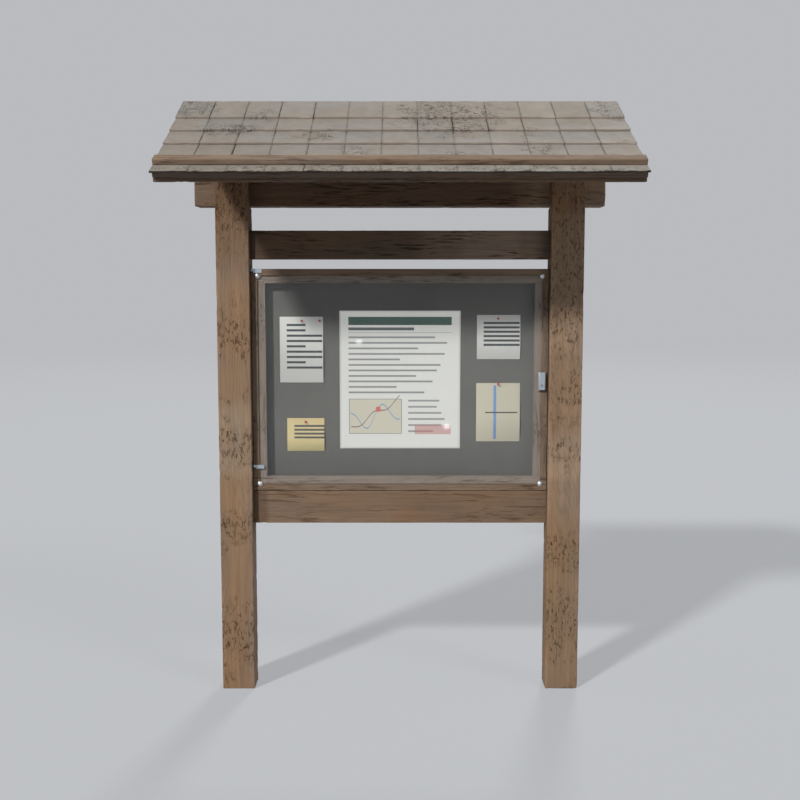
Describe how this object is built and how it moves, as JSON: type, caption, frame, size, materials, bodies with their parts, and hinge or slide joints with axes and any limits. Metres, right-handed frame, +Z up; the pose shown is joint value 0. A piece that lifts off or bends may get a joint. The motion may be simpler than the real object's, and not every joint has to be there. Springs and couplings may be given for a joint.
{
  "type": "notice board",
  "caption": "Free-standing outdoor notice board: timber posts and rails, a glazed lockable case with a hinged door, and a shingled gable roof on rafters.",
  "frame": {"origin": "on the ground, midway between the posts and at half their depth, which is the bottom centre of the bounding box", "axes": "+X to the right as seen from the front, +Y from front to back, +Z up"},
  "size_m": [1.558, 1.1788, 2.1677],
  "materials": {
    "post_wood": "weathered, upright grain, worm-marked",
    "rail_wood": "weathered, grain along the rail",
    "door_wood": "weathered, greyed",
    "roof_wood": "dark stained, weathered",
    "batten_wood": "weathered",
    "case_wood": "dark stained",
    "back_panel": "plywood, stained",
    "shingle": "grey mineral surface with lichen",
    "felt": "matt grey felt",
    "rubber": "matt black",
    "glass": "clear, polished",
    "hinge_steel": "zinc-plated, satin",
    "pin_steel": "turned steel",
    "bolt_steel": "polished dome heads",
    "screw_steel": "zinc-plated",
    "lock_metal": "blue-grey enamel, satin",
    "plug_brass": "dull brass",
    "poster_paper": "printed with plain lines, bars and a small chart",
    "white_paper": "printed with plain lines",
    "yellow_paper": "pale yellow, plain lines",
    "beige_paper": "beige with a blue bar",
    "push_pin": "dark red"
  },
  "bodies": {
    "stand": {"post_left": "post_wood", "post_right": "post_wood", "top_beam": "rail_wood", "upper_rail": "rail_wood", "lower_rail": "rail_wood", "tie_left": "roof_wood", "tie_centre": "roof_wood", "tie_right": "roof_wood", "rafter_front_left": "roof_wood", "rafter_front_centre": "roof_wood", "rafter_front_right": "roof_wood", "rafter_rear_left": "roof_wood", "rafter_rear_centre": "roof_wood", "rafter_rear_right": "roof_wood", "king_post_left": "roof_wood", "king_post_right": "roof_wood", "ridge_board": "roof_wood", "eaves_board_front": "roof_wood", "eaves_board_rear": "roof_wood", "roof_boards_front": "roof_wood", "roof_boards_rear": "roof_wood", "shingles_front_1": "shingle", "shingles_front_2": "shingle", "shingles_front_3": "shingle", "shingles_front_4": "shingle", "shingles_rear_1": "shingle", "shingles_rear_2": "shingle", "shingles_rear_3": "shingle", "shingles_rear_4": "shingle", "ridge_shingles": "shingle", "eaves_batten_front": "batten_wood", "eaves_batten_rear": "batten_wood", "case_side_left": "case_wood", "case_side_right": "case_wood", "case_top": "case_wood", "case_bottom": "case_wood", "case_back": "back_panel", "pin_board": "felt", "door_seal": "rubber", "hinge_leaves_post": "hinge_steel", "hinge_pins": "pin_steel", "striker_plate": "hinge_steel", "poster": "poster_paper", "white_notices": "white_paper", "yellow_note": "yellow_paper", "beige_notice": "beige_paper", "push_pins": "push_pin", "coach_screws": "screw_steel", "truss_bolts": "screw_steel"},
    "door": {"door_stile_left": "door_wood", "door_stile_right": "door_wood", "door_top_rail": "door_wood", "door_bottom_rail": "door_wood", "glass_pane": "glass", "pane_bolts": "bolt_steel", "pane_nuts": "screw_steel", "hinge_leaves_door": "hinge_steel", "lock_case": "lock_metal"},
    "lock_barrel": {"lock_plug": "plug_brass", "lock_cam": "hinge_steel"}
  },
  "joints": [
    {"name": "door_hinge", "type": "hinge", "parent": "stand", "child": "door", "pos_m": [-0.539, -0.027, 1.2], "axis": [0, 0, -1], "range_deg": [0, 100]},
    {"name": "lock_turn", "type": "hinge", "parent": "door", "child": "lock_barrel", "pos_m": [0.5205, -0.008, 1.144], "axis": [0, 1, 0], "range_deg": [0, 90]}
  ]
}
